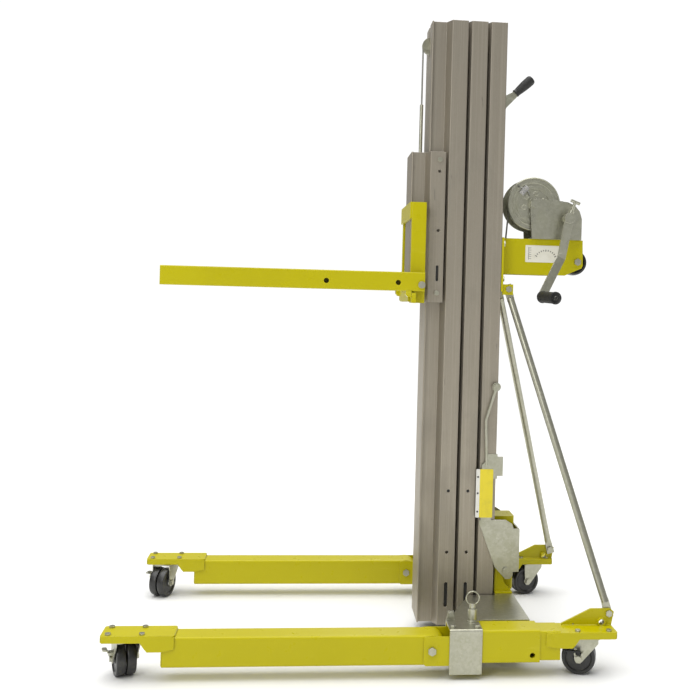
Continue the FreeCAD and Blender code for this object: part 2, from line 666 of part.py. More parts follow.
def write_casters():
    fork_shape = fuse([caster_fork(), lever_lug()])
    rear = []
    for name, side, y, az, flip in CASTERS:
        x = side * SWIVEL_X
        lever = brake_lever(y > 0)
        save("caster_fork_" + name, turned(mirror(fork_shape) if flip else fork_shape, x, y, az))
        save("caster_wheels_" + name, turned(caster_wheels(), x, y, az))
        save("brake_lever_" + name, turned(mirror(lever) if flip else lever, x, y, az))
        arm = front_leg() if y < 0 else outrigger()
        plate = trimmed(caster_plate(x, y), arm if side > 0 else mirror(arm))
        if y < 0:
            save("caster_mount_" + name, [plate] + caster_bolts(x, y))
        else:
            rear.append(plate)
    save("caster_plates_rear", rear)


# ---------------------------------------------------------------- cable

def arc_yz(y, z, r, a0, a1):
    pts = [(y + r * math.cos(math.radians(a)), z + r * math.sin(math.radians(a))) for a in (a0, (a0 + a1) / 2, a1)]
    return Part.Arc(*[V(0, p, q) for p, q in pts]).toShape()


def tangent(c0, r0, c1, r1, side0, side1):
    """End points of the straight run between two sheaves; side is +1 on the right of the way it runs."""
    dy, dz = c1[0] - c0[0], c1[1] - c0[1]
    length = math.hypot(dy, dz)
    ny, nz = dz / length, -dy / length
    off = (side1 * r1 - side0 * r0) / length
    k = math.sqrt(1 - off * off)
    my, mz = ny * k - dy / length * off, nz * k - dz / length * off
    return ((c0[0] + side0 * r0 * my, c0[1] + side0 * r0 * mz), (c1[0] + side1 * r1 * my, c1[1] + side1 * r1 * mz))


def angle(c, p):
    return math.degrees(math.atan2(p[1] - c[1], p[0] - c[0]))


def pipe(edges):
    """Round cable along a chain of lines and arcs, swept piece by piece."""
    pieces = []
    for e in edges:
        profile = Part.Circle(e.valueAt(e.FirstParameter), e.tangentAt(e.FirstParameter), CABLE_R).toShape()
        pieces.append(Part.Wire([e]).makePipeShell([Part.Wire([profile])], True, False))
    return pieces[0].multiFuse(pieces[1:])


def stage_loop(y0, from_drum):
    """Cable round one stage's bottom sheave, up behind its web and over its top sheave.

    The fixed stage's loop starts at the drum; the others start where the fall above them ends.
    """
    low, top = (low_sheave_y(y0), LOW_SHEAVE_Z), (top_sheave_y(y0), TOP_SHEAVE_Z)
    a, b = tangent(low, LOW_SHEAVE_R, top, TOP_SHEAVE_R, -1, 1)
    edges, start = [], 0.0
    if from_drum:
        d0, d1 = tangent(DRUM, COIL_R + CABLE_R + 2.8, low, LOW_SHEAVE_R, 1, -1)
        start = angle(low, d1)
        edges.append(Part.makeLine(V(0, *d0), V(0, *d1)))
    edges.append(arc_yz(low[0], low[1], LOW_SHEAVE_R, start, angle(low, a) - 360))
    edges.append(Part.makeLine(V(0, *a), V(0, *b)))
    edges.append(arc_yz(top[0], top[1], TOP_SHEAVE_R, angle(top, b), 180))
    return pipe(edges)


def fall(y0):
    """Straight run from a stage's top sheave down to the bottom sheave of the stage ahead of it."""
    y1 = y0 - MAST_PITCH
    p = (0, top_sheave_y(y0) - TOP_SHEAVE_R, TOP_SHEAVE_Z - 0.3)
    q = (0, low_sheave_y(y1) + LOW_SHEAVE_R, LOW_SHEAVE_Z + 0.3)
    return rod(p, q, CABLE_R)


def last_fall():
    y = top_sheave_y(MAST_Y0) - TOP_SHEAVE_R
    return rod((0, y, TOP_SHEAVE_Z - 0.3), (0, y, ANCHOR_Z + 0.3), CABLE_R)


def main():
    put_pair("front_leg", front_leg())
    put_pair("leg_sleeve", sleeve())
    put_pair("outrigger", outrigger())
    put_pair("plunger_pin", plunger_pin())
    save("cross_member", cross_member())
    save("rear_pillar", rear_pillar())
    save("tie_bracket", tie_bracket())
    put_pair("brace", brace())
    for k, name in ((2, "mast_stage_1"), (1, "mast_stage_2"), (0, "mast_stage_3")):
        y0 = MAST_Y0 + k * MAST_PITCH
        section = mast_section(y0, k < 2)
        save(name, section)
        blocks = hangers(y0, top_sheave_y(y0), TOP_SHEAVE_Z, (1640, 1668), 18)
        blocks += hangers(y0, low_sheave_y(y0), LOW_SHEAVE_Z, (134, 160), 42)
        blocks += [sheave(top_sheave_y(y0), TOP_SHEAVE_Z, TOP_SHEAVE_R), sheave(low_sheave_y(y0), LOW_SHEAVE_Z, LOW_SHEAVE_R)]
        save("pulley_blocks_" + name[-1], [trimmed(b, section) for b in blocks])
        save("cable_loop_" + name[-1], stage_loop(y0, k == 2))
    save("cable_fall_1", fall(MAST_Y0 + 2 * MAST_PITCH))
    save("cable_fall_2", fall(MAST_Y0 + MAST_PITCH))
    save("cable_fall_3", last_fall())
    save("glide_pads_2", glide_pads(MAST_Y0 + MAST_PITCH, (95, 388)))
    save("glide_pads_3", glide_pads(MAST_Y0, (95, 388)))
    save("glide_pads_carriage", [trimmed(pad, carriage()) for pad in carriage_pads()])
    save("carriage", carriage())
    save("carriage_fittings", carriage_bolts() + both(fork_pin()) + [cable_anchor()])
    save("fork_frame", fork_frame())
    put_pair("fork", fork())
    save("winch_bracket", winch_bracket())
    save("winch_frame", winch_frame())
    save("winch_drum", winch_drum())
    save("cable_on_drum", trimmed(cable_on_drum(), winch_drum()))
    save("frame_bolts", frame_bolts())
    save("crank", crank())
    save("crank_grip", crank_grip())
    save("load_wheel", load_wheel())
    save("push_handle", push_handle())
    save("push_grip", trimmed(push_grip(), push_handle()))
    save("hold_down_bar", hold_down())
    save("hold_down_clip", clip())
    write_casters()


main()
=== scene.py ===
import json
import math
import random

import bmesh
import bpy
from mathutils import Matrix, Vector

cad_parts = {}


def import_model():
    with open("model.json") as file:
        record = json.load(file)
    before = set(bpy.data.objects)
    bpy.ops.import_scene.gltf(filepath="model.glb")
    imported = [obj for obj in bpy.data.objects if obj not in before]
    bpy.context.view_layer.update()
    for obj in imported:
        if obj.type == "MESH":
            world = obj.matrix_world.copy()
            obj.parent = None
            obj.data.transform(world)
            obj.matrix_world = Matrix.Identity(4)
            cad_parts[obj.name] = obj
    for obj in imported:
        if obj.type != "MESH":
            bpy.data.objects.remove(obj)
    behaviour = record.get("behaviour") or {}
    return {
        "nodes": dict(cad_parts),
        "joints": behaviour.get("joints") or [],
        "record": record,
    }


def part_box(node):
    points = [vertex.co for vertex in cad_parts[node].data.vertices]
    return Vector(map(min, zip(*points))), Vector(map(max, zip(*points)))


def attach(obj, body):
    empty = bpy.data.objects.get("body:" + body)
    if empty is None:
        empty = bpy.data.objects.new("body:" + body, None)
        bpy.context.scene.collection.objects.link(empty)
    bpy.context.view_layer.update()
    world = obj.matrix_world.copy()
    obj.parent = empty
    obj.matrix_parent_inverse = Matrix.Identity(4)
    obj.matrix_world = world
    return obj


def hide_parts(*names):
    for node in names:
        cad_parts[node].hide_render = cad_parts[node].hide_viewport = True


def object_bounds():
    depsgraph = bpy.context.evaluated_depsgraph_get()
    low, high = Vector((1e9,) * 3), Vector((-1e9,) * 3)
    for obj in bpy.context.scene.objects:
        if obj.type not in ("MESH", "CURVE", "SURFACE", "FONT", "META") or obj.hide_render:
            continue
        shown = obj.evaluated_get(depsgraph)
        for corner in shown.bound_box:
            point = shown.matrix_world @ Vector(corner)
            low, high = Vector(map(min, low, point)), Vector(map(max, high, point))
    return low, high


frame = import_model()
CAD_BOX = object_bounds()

RANDOM = random.Random(11)
NODES = frame["nodes"]
X, Y, Z = Vector((1, 0, 0)), Vector((0, 1, 0)), Vector((0, 0, 1))
MM = 0.001


# ------------------------------------------------------------------ materials

class Surface:
    """A Principled material whose colour, roughness and relief come from object-space nodes."""

    def __init__(self, name, color, metallic=0.0, coat=0.0, coat_rough=0.1, specular=0.5, aniso=0.0):
        self.mat = bpy.data.materials.new(name)
        self.mat.use_nodes = True
        self.tree = self.mat.node_tree
        self.bsdf = self.tree.nodes["Principled BSDF"]
        for socket, value in (("Metallic", metallic), ("Coat Weight", coat), ("Coat Roughness", coat_rough),
                              ("Specular IOR Level", specular), ("Anisotropic", aniso)):
            self.bsdf.inputs[socket].default_value = value
        self.object = self.add("ShaderNodeTexCoord").outputs["Object"]
        rgb = self.add("ShaderNodeRGB")
        rgb.outputs[0].default_value = (*color, 1)
        self.color = rgb.outputs[0]
        self.normal = None

    def add(self, kind, **settings):
        node = self.tree.nodes.new(kind)
        for key, value in settings.items():
            setattr(node, key, value)
        return node

    def plug(self, value, socket):
        if isinstance(value, bpy.types.NodeSocket):
            self.tree.links.new(value, socket)
        else:
            socket.default_value = value

    def math(self, operation, a, b=0.0):
        node = self.add("ShaderNodeMath", operation=operation)
        self.plug(a, node.inputs[0])
        self.plug(b, node.inputs[1])
        return node.outputs[0]

    def mapped(self, stretch, turn=(0, 0, 0)):
        node = self.add("ShaderNodeMapping")
        node.inputs["Scale"].default_value = stretch
        node.inputs["Rotation"].default_value = turn
        self.plug(self.object, node.inputs["Vector"])
        return node.outputs["Vector"]

    def noise(self, scale, detail=4.0, rough=0.55, stretch=(1, 1, 1), turn=(0, 0, 0), distort=0.0):
        node = self.add("ShaderNodeTexNoise")
        self.plug(self.mapped(stretch, turn), node.inputs["Vector"])
        for socket, value in (("Scale", scale), ("Detail", detail), ("Roughness", rough), ("Distortion", distort)):
            node.inputs[socket].default_value = value
        return node.outputs["Fac"]

    def cells(self, scale, feature="F1", stretch=(1, 1, 1), output="Distance"):
        node = self.add("ShaderNodeTexVoronoi", feature=feature)
        self.plug(self.mapped(stretch), node.inputs["Vector"])
        node.inputs["Scale"].default_value = scale
        return node.outputs[output]

    def bands(self, scale, turn=(0, 0, 0), distort=0.0):
        node = self.add("ShaderNodeTexWave", wave_type="BANDS", bands_direction="X")
        self.plug(self.mapped((1, 1, 1), turn), node.inputs["Vector"])
        node.inputs["Scale"].default_value = scale
        node.inputs["Distortion"].default_value = distort
        return node.outputs["Fac"]

    def level(self, value, low, high, to_low=0.0, to_high=1.0):
        node = self.add("ShaderNodeMapRange", clamp=True)
        self.plug(value, node.inputs["Value"])
        for socket, number in (("From Min", low), ("From Max", high), ("To Min", to_low), ("To Max", to_high)):
            node.inputs[socket].default_value = number
        return node.outputs["Result"]

    def tint(self, mask, color, amount=1.0):
        """Blends the colour so far towards another where the mask is high."""
        node = self.add("ShaderNodeMix", data_type="RGBA", blend_type="MIX")
        self.plug(self.math("MULTIPLY", mask, amount), node.inputs["Factor"])
        self.plug(self.color, node.inputs["A"])
        self.plug((*color, 1), node.inputs["B"])
        self.color = node.outputs["Result"]

    def soft_edges(self, radius):
        """Rounds the shading of sharp edges, and returns a mask that is high along them; the paint and metal materials
        use it to paint highlights along edges.
        """
        node = self.add("ShaderNodeBevel", samples=4)
        node.inputs["Radius"].default_value = radius
        self.normal = node.outputs["Normal"]
        dot = self.add("ShaderNodeVectorMath", operation="DOT_PRODUCT")
        self.plug(self.normal, dot.inputs[0])
        self.plug(self.add("ShaderNodeNewGeometry").outputs["Normal"], dot.inputs[1])
        return self.level(dot.outputs["Value"], 0.995, 0.86)

    def relief(self, height, distance, strength=1.0):
        node = self.add("ShaderNodeBump")
        self.plug(height, node.inputs["Height"])
        node.inputs["Distance"].default_value = distance
        node.inputs["Strength"].default_value = strength
        if self.normal is not None:
            self.plug(self.normal, node.inputs["Normal"])
        self.normal = node.outputs["Normal"]

    def finish(self, rough):
        self.plug(self.color, self.bsdf.inputs["Base Color"])
        self.plug(rough, self.bsdf.inputs["Roughness"])
        if self.normal is not None:
            self.plug(self.normal, self.bsdf.inputs["Normal"])
        return self.mat


def yellow_paint():
    s = Surface("yellow_paint", (0.50, 0.445, 0.0005), coat=0.08, coat_rough=0.18, specular=0.22)
    # edge is high along sharp edges: it drives the painted edge highlight below and, with noise, the real darker edge
    # wear
    edge = s.soft_edges(1.2 * MM)
    s.tint(s.level(s.noise(3.2, 3), 0.42, 0.66), (0.44, 0.385, 0.0005), 0.45)
    s.tint(s.level(s.noise(55, 5, 0.62), 0.55, 0.8), (0.60, 0.54, 0.01), 0.20)
    s.tint(s.level(s.noise(420, 2), 0.70, 0.76), (0.30, 0.25, 0.03), 0.35)
    scuff = s.level(s.noise(26, 6, 0.7, (1, 0.12, 1), distort=0.6), 0.64, 0.70)
    s.tint(scuff, (0.64, 0.58, 0.05), 0.26)
    worn = s.math("MULTIPLY", edge, s.level(s.noise(85, 4, 0.7), 0.52, 0.66))
    # painted highlight: a lighter, paler yellow along the sharp edges where light would catch them
    s.tint(edge, (0.92, 0.87, 0.10), 0.30)
    s.tint(worn, (0.36, 0.34, 0.20), 0.38)
    s.relief(s.noise(520, 1.5, 0.4), 0.06 * MM, 0.5)
    s.relief(s.noise(38, 2), 0.25 * MM, 0.22)
    rough = s.math("ADD", s.level(s.noise(34, 5, 0.6), 0.3, 0.75, 0.26, 0.37), s.math("MULTIPLY", scuff, 0.16))
    return s.finish(rough)


def mast_aluminium():
    s = Surface("mast_aluminium", (0.38, 0.342, 0.275), metallic=0.82, specular=0.45, aniso=0.3)
    edge = s.soft_edges(1.0 * MM)
    grain = s.noise(1.0, 5, 0.6, (1100, 1100, 9))
    die = s.noise(1.0, 3, 0.5, (240, 240, 0.9))
    fleck = s.noise(950, 2, 0.6)
    s.tint(s.level(grain, 0.36, 0.66), (0.28, 0.25, 0.20), 0.42)
    s.tint(s.level(die, 0.52, 0.66), (0.46, 0.415, 0.335), 0.45)
    s.tint(s.level(fleck, 0.56, 0.72), (0.66, 0.61, 0.52), 0.32)
    s.tint(s.level(fleck, 0.42, 0.30), (0.27, 0.245, 0.20), 0.40)
    smudge = s.level(s.noise(6.5, 5, 0.62, (1, 1, 0.45), distort=0.5), 0.52, 0.70)
    s.tint(smudge, (0.26, 0.24, 0.20), 0.38)
    nick = s.level(s.noise(70, 2, 0.5, (1, 1, 0.16)), 0.735, 0.755)
    s.tint(nick, (0.20, 0.19, 0.17), 0.6)
    # painted highlight: pale metal colour along the sharp edges
    s.tint(edge, (0.78, 0.74, 0.66), 0.70)
    s.relief(grain, 0.05 * MM, 0.55)
    s.relief(fleck, 0.05 * MM, 0.35)
    rough = s.math("ADD", s.level(grain, 0.3, 0.7, 0.40, 0.54), s.math("MULTIPLY", smudge, 0.07))
    return s.finish(rough)


def zinc_steel():
    s = Surface("zinc_steel", (0.43, 0.425, 0.335), metallic=0.9, specular=0.5)
    edge = s.soft_edges(0.8 * MM)
    s.tint(s.level(s.noise(24, 5, 0.6), 0.42, 0.70), (0.37, 0.37, 0.25), 0.38)
    s.tint(s.level(s.cells(160, output="Color"), 0.35, 0.75), (0.62, 0.61, 0.53), 0.22)
    s.tint(s.level(s.noise(340, 3), 0.60, 0.72), (0.30, 0.30, 0.25), 0.40)
    bloom = s.level(s.noise(22, 6, 0.7, distort=0.4), 0.60, 0.74)
    s.tint(bloom, (0.70, 0.69, 0.60), 0.22)
    # painted highlight: paler zinc colour along the sharp edges
    s.tint(edge, (0.82, 0.81, 0.74), 0.55)
    s.relief(s.noise(210, 3), 0.06 * MM, 0.5)
    rough = s.math("ADD", s.level(s.noise(48, 5, 0.65), 0.3, 0.72, 0.27, 0.42), s.math("MULTIPLY", bloom, 0.15))
    return s.finish(rough)


def bright_steel():
    s = Surface("bright_steel", (0.68, 0.67, 0.64), metallic=1.0)
    edge = s.soft_edges(0.5 * MM)
    s.tint(s.level(s.noise(60, 4), 0.5, 0.7), (0.50, 0.49, 0.45), 0.4)
    # painted highlight: paler steel colour along the sharp edges
    s.tint(edge, (0.82, 0.81, 0.78), 0.4)
    s.relief(s.noise(700, 2), 0.03 * MM, 0.5)
    return s.finish(s.level(s.noise(90, 4), 0.3, 0.7, 0.22, 0.36))


def weld_bead():
    s = Surface("painted_weld", (0.50, 0.445, 0.002), coat=0.3, coat_rough=0.2)
    s.tint(s.level(s.noise(150, 3), 0.5, 0.7), (0.60, 0.52, 0.01), 0.5)
    s.relief(s.noise(900, 2), 0.08 * MM, 0.6)
    return s.finish(s.level(s.noise(120, 3), 0.3, 0.7, 0.30, 0.42))


def black_tread():
    s = Surface("black_tread", (0.012, 0.012, 0.011), coat=0.25, coat_rough=0.25, specular=0.5)
    s.tint(s.level(s.noise(28, 5, 0.65), 0.50, 0.72), (0.045, 0.044, 0.038), 0.55)
    s.tint(s.level(s.noise(330, 3), 0.62, 0.74), (0.10, 0.098, 0.085), 0.35)
    s.relief(s.noise(600, 3), 0.06 * MM, 0.6)
    return s.finish(s.level(s.noise(60, 5, 0.6), 0.3, 0.72, 0.30, 0.52))


def black_grip():
    s = Surface("black_grip", (0.016, 0.016, 0.015), specular=0.45)
    s.soft_edges(0.6 * MM)
    s.tint(s.level(s.noise(40, 5, 0.6), 0.50, 0.75), (0.050, 0.050, 0.045), 0.5)
    s.tint(s.level(s.noise(500, 2), 0.66, 0.74), (0.14, 0.14, 0.12), 0.25)
    s.relief(s.cells(900), 0.10 * MM, 0.45)
    s.relief(s.noise(240, 3), 0.05 * MM, 0.4)
    return s.finish(s.level(s.noise(75, 4), 0.3, 0.7, 0.42, 0.60))


def wire_rope():
    s = Surface("wire_rope", (0.40, 0.40, 0.37), metallic=0.9)
    lay = s.bands(150, (0.0, math.radians(38), math.radians(38)))
    # painted shade: near-black colour in the grooves between the strands of the lay
    s.tint(s.level(lay, 0.30, 0.05), (0.06, 0.06, 0.05), 0.8)
    s.tint(s.level(s.noise(60, 4), 0.5, 0.7), (0.24, 0.23, 0.19), 0.5)
    s.relief(lay, 0.5 * MM, 0.9)
    return s.finish(s.level(s.noise(90, 3), 0.3, 0.7, 0.30, 0.46))


def black_nylon():
    s = Surface("black_nylon", (0.020, 0.020, 0.019), specular=0.4)
    s.soft_edges(0.6 * MM)
    s.tint(s.level(s.noise(40, 4), 0.48, 0.70), (0.045, 0.044, 0.040), 0.5)
    s.tint(s.level(s.noise(1.0, 3, 0.5, (300, 300, 8)), 0.58, 0.70), (0.10, 0.10, 0.09), 0.35)
    s.relief(s.noise(420, 2), 0.05 * MM, 0.5)
    return s.finish(s.level(s.noise(70, 3), 0.3, 0.7, 0.36, 0.50))


def printed(name, color, soil):
    """Laminated label or vinyl: faint mottling, soiled patches and a soft sheen."""
    s = Surface(name, color, specular=0.5, coat=0.2, coat_rough=0.3)
    s.tint(s.level(s.noise(30, 5, 0.65), 0.50, 0.74), soil, 0.35)
    s.tint(s.level(s.noise(600, 2), 0.68, 0.75), soil, 0.5)
    s.relief(s.noise(160, 3), 0.10 * MM, 0.3)
    return s.finish(s.level(s.noise(55, 4), 0.3, 0.7, 0.34, 0.50))


MAT = {
    "yellow_paint": yellow_paint(),
    "mast_aluminium": mast_aluminium(),
    "zinc_steel": zinc_steel(),
    "bright_steel": bright_steel(),
    "weld": weld_bead(),
    "black_tread": black_tread(),
    "black_grip": black_grip(),
    "wire_rope": wire_rope(),
    "black_nylon": black_nylon(),
    "tag_yellow": printed("tag_yellow", (0.80, 0.66, 0.02), (0.42, 0.34, 0.05)),
    "tag_white": printed("tag_white", (0.80, 0.79, 0.74), (0.45, 0.43, 0.36)),
    "decal_cream": printed("decal_cream", (0.78, 0.76, 0.66), (0.50, 0.47, 0.36)),
    "print_black": printed("print_black", (0.02, 0.02, 0.02), (0.10, 0.10, 0.09)),
}

SLOT_OF = {row["node"]: row["material_slot"] for row in frame["record"]["subparts"]}
BODY_OF = {node: body for body, nodes in frame["record"]["behaviour"]["bodies"].items() for node in nodes}
for node_name, cad in NODES.items():
    cad.data.materials.clear()
    cad.data.materials.append(MAT[SLOT_OF[node_name]])


# ------------------------------------------------------------------ mesh helpers

def piece(name, mesh, material, body, smooth=35.0):
    """Turns a bmesh into a named object that rides on a CAD body."""
    bmesh.ops.recalc_face_normals(mesh, faces=mesh.faces)
    data = bpy.data.meshes.new(name)
    mesh.to_mesh(data)
    mesh.free()
    data.materials.append(MAT[material])
    obj = bpy.data.objects.new(name, data)
    bpy.context.scene.collection.objects.link(obj)
    data.shade_smooth()
    data.set_sharp_from_angle(angle=math.radians(smooth))
    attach(obj, body)
    return obj


def basis(origin, axis, up=None):
    """Matrix that takes local Z to an axis and local X near up."""
    z = Vector(axis).normalized()
    up = Vector(up) if up is not None else (Z if abs(z.z) < 0.9 else X)
    x = (up - z * up.dot(z)).normalized()
    y = z.cross(x)
    rows = Matrix((x, y, z)).transposed().to_4x4()
    rows.translation = Vector(origin)
    return rows


def lathe(mesh, profile, place, steps=48):
    """Closed ring of (radius, height) points turned about local Z."""
    rings = []
    for k in range(steps):
        a = 2 * math.pi * k / steps
        rings.append([mesh.verts.new(place @ Vector((r * math.cos(a), r * math.sin(a), h))) for r, h in profile])
    count = len(profile)
    for k in range(steps):
        a, b = rings[k], rings[(k + 1) % steps]
        for i in range(count):
            j = (i + 1) % count
            mesh.faces.new((a[i], b[i], b[j], a[j]))
    return mesh


def capped_lathe(mesh, profile, place, steps=40):
    """Solid of revolution whose profile runs from the axis to the axis, without its end points."""
    rings = []
    for k in range(steps):
        a = 2 * math.pi * k / steps
        rings.append([mesh.verts.new(place @ Vector((r * math.cos(a), r * math.sin(a), h))) for r, h in profile])
    for k in range(steps):
        a, b = rings[k], rings[(k + 1) % steps]
        for i in range(len(profile) - 1):
            mesh.faces.new((a[i], b[i], b[i + 1], a[i + 1]))
    for i in (0, -1):
        mesh.faces.new([ring[i] for ring in rings])
    return mesh


def slab(mesh, outline, place, thick, bevel):
    """Plate of an outline in local XY with a chamfered top edge."""
    centre = sum((Vector((*p, 0)) for p in outline), Vector()) / len(outline)
    levels = [(0.0, 0.0), (thick - bevel, 0.0), (thick, bevel)]
    rings = []
    for height, inset in levels:
        ring = []
        for p in outline:
            v = Vector((*p, 0)) - centre
            v *= max(0.0, 1 - inset / max(v.length, 1e-6))
            ring.append(mesh.verts.new(place @ (centre + v + Vector((0, 0, height)))))
        rings.append(ring)
    n = len(outline)
    for a, b in zip(rings, rings[1:]):
        for i in range(n):
            mesh.faces.new((a[i], a[(i + 1) % n], b[(i + 1) % n], b[i]))
    mesh.faces.new(rings[0])
    mesh.faces.new(rings[-1])
    return mesh


def rounded_outline(x0, x1, y0, y1, radius, steps=6):
    points = []
    for cx, cy, start in ((x1 - radius, y1 - radius, 0), (x0 + radius, y1 - radius, 90),
                          (x0 + radius, y0 + radius, 180), (x1 - radius, y0 + radius, 270)):
        for k in range(steps + 1):
            a = math.radians(start + 90 * k / steps)
            points.append((cx + radius * math.cos(a), cy + radius * math.sin(a)))
    return points


def hexagon(mesh, centre, axis, across, height, turn=0.0):
    """Chamfered six-sided head or nut."""
    place = basis(centre, axis)
    r = across / math.sqrt(3)
    profile = [(1.0, 0.0), (1.0, height * 0.78), (0.86, height)]
    rings = []
    for share, h in profile:
        ring = []
        for k in range(12):
            a = math.radians(30 * k + turn)
            corner = r if k % 2 == 0 else r * math.cos(math.radians(30))
            ring.append(mesh.verts.new(place @ Vector((corner * share * math.cos(a), corner * share * math.sin(a), h))))
        rings.append(ring)
    for a, b in zip(rings, rings[1:]):
        for i in range(12):
            mesh.faces.new((a[i], a[(i + 1) % 12], b[(i + 1) % 12], b[i]))
    mesh.faces.new(rings[0])
    mesh.faces.new(rings[-1])
    return mesh


def washer(mesh, centre, axis, inner, outer, thick):
    c = min(0.25 * thick, 0.3 * MM)
    profile = [(inner, 0), (outer, 0), (outer, thick - c), (outer - c, thick), (inner + c, thick), (inner, thick - c)]
    return lathe(mesh, profile, basis(centre, axis), 36)


def tube(mesh, points, radius, sides=10, closed=False):
    """Round bar along points, with a radius for each point or one for all."""
    count = len(points)
    radii = radius if isinstance(radius, (list, tuple)) else [radius] * count
    rings, up = [], None
    for i, p in enumerate(points):
        before = points[i - 1] if i or closed else points[i]
        after = points[(i + 1) % count] if i < count - 1 or closed else points[i]
        d = (Vector(after) - Vector(before)).normalized()
        if up is None:
            up = Z if abs(d.z) < 0.9 else X
        side = d.cross(up).normalized()
        up = side.cross(d).normalized()
        ring = []
        for k in range(sides):
            a = 2 * math.pi * k / sides
            ring.append(mesh.verts.new(Vector(p) + (side * math.cos(a) + up * math.sin(a)) * radii[i]))
        rings.append(ring)
    pairs = list(zip(rings, rings[1:])) + ([(rings[-1], rings[0])] if closed else [])
    for a, b in pairs:
        for k in range(sides):
            mesh.faces.new((a[k], a[(k + 1) % sides], b[(k + 1) % sides], b[k]))
    if not closed:
        mesh.faces.new(rings[0])
        mesh.faces.new(rings[-1])
    return mesh


def bead(mesh, a, b, radius):
    """Weld bead between two points, rippled as a hand-laid one is."""
    a, b = Vector(a), Vector(b)
    length = (b - a).length
    steps = max(6, int(length / (0.9 * MM)))
    points, radii = [], []
    for k in range(steps + 1):
        t = k / steps
        ripple = (k % 4) / 4.0
        end = min(1.0, min(t, 1 - t) * length / (3 * MM) + 0.35)
        points.append(a.lerp(b, t))
        radii.append(radius * end * (0.86 + 0.22 * ripple + 0.05 * RANDOM.uniform(-1, 1)))
    return tube(mesh, points, radii, 8)


def box_of(node):
    low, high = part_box(node)
    return low, high


# ------------------------------------------------------------------ casters

def joint(name):
    return next(j for j in frame["joints"] if j["name"] == name)


def wheel_profile(r, w):
    """Half section of one caster wheel, from the hub bore out over the tread and back."""
    face, rim = 2.2 * MM, r * 0.80
    bore, hub = 5.2 * MM, 13 * MM
    left = [(bore, 0.6 * MM), (hub - 1 * MM, 0.6 * MM), (hub, 1.4 * MM), (hub + 1.5 * MM, face + 1.2 * MM),
            (rim - 4 * MM, face + 1.6 * MM), (rim - 2.2 * MM, face), (rim - 1.2 * MM, 0.7 * MM), (rim, 0.35 * MM),
            (rim + 1.0 * MM, 1.1 * MM), (rim + 1.8 * MM, 0.9 * MM)]
    tread = []
    for k in range(13):
        a = math.pi * (0.5 - k / 12.0)
        y = (w / 2) * (1 - math.sin(a))
        bulge = (math.cos(a)) ** 0.55 if k not in (0, 12) else 0.0
        tread.append((r - 6.5 * MM + 6.5 * MM * bulge, y))
    tread = [t for t in tread if 1.2 * MM < t[1] < w - 1.2 * MM]
    right = [(p[0], w - p[1]) for p in reversed(left)]
    return left + tread + right


def caster_wheels(suffix):
    j = joint("wheel_spin_" + suffix)
    axis, centre = Vector(j["axis"]).normalized(), Vector(j["pos_m"])
    r, w = 44 * MM, 25 * MM
    mesh = bmesh.new()
    for side in (1, -1):
        place = basis(centre + axis * side * 0.75 * MM, axis * side)
        lathe(mesh, wheel_profile(r, w), place, 64)
    lathe(mesh, [(5.2 * MM, -1.2 * MM), (14 * MM, -1.2 * MM), (14 * MM, 1.2 * MM), (5.2 * MM, 1.2 * MM)],
          basis(centre, axis), 40)
    wheels = piece("wheel_pair_" + suffix, mesh, "black_tread", "wheels_" + suffix, 30)
    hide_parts("caster_wheels_" + suffix)
    mesh = bmesh.new()
    for side in (1, -1):
        washer(mesh, centre + axis * side * (w + 0.75 * MM - 0.55 * MM), axis * side, 5.3 * MM, 11 * MM, 1.3 * MM)
    piece("wheel_bearing_rings_" + suffix, mesh, "bright_steel", "wheels_" + suffix)


for corner in ("front_left", "front_right", "rear_left", "rear_right"):
    caster_wheels(corner)


# ------------------------------------------------------------------ winch details

def axis_frame(j):
    return Vector(j["pos_m"]), Vector(j["axis"]).normalized()


DRUM_AT = Vector(joint("drum_turn")["pos_m"])
CRANK_AT = Vector(joint("crank_turn")["pos_m"])
GEAR_TEETH, PINION_TEETH = 46, 18
CENTRES = math.hypot(DRUM_AT.y - CRANK_AT.y, DRUM_AT.z - CRANK_AT.z)
MODULE = 2 * CENTRES / (GEAR_TEETH + PINION_TEETH)


def toothed_ring(mesh, centre, teeth, inner, phase, x0, x1):
    """Spur gear rim with flanks that narrow towards the tips."""
    pitch_r = MODULE * teeth / 2
    root, tip = pitch_r - 1.1 * MODULE, pitch_r + 0.88 * MODULE
    outline, inside = [], []
    for k in range(teeth):
        mid = phase + 2 * math.pi * k / teeth
        for share, r in ((-0.36, root), (-0.235, pitch_r), (-0.12, tip), (0.12, tip), (0.235, pitch_r), (0.36, root)):
            a = mid + share * 2 * math.pi / teeth
            outline.append((r * math.cos(a), r * math.sin(a)))
            inside.append((inner * math.cos(a), inner * math.sin(a)))
    rings = []
    for x in (x0, x1):
        rings.append([mesh.verts.new((x, centre.y + a, centre.z + b)) for a, b in outline])
        rings.append([mesh.verts.new((x, centre.y + a, centre.z + b)) for a, b in inside])
    o0, i0, o1, i1 = rings
    n = len(outline)
    for i in range(n):
        j = (i + 1) % n
        mesh.faces.new((o0[i], o0[j], o1[j], o1[i]))
        mesh.faces.new((i0[i], i1[i], i1[j], i0[j]))
        mesh.faces.new((o0[i], i0[i], i0[j], o0[j]))
        mesh.faces.new((o1[i], o1[j], i1[j], i1[i]))
    return mesh


def winch_gears():
    toward = math.atan2(CRANK_AT.z - DRUM_AT.z, CRANK_AT.y - DRUM_AT.y)
    x0, x1 = -0.0458, -0.0382
    mesh = toothed_ring(bmesh.new(), DRUM_AT, GEAR_TEETH, 0.0670, toward, x0, x1)
    piece("winch_gear_teeth", mesh, "zinc_steel", "drum", 20)
    half = math.pi / PINION_TEETH
    mesh = toothed_ring(bmesh.new(), CRANK_AT, PINION_TEETH, 0.0235, toward + math.pi + half, x0, x1)
    piece("winch_pinion_teeth", mesh, "bright_steel", "winch_crank", 20)


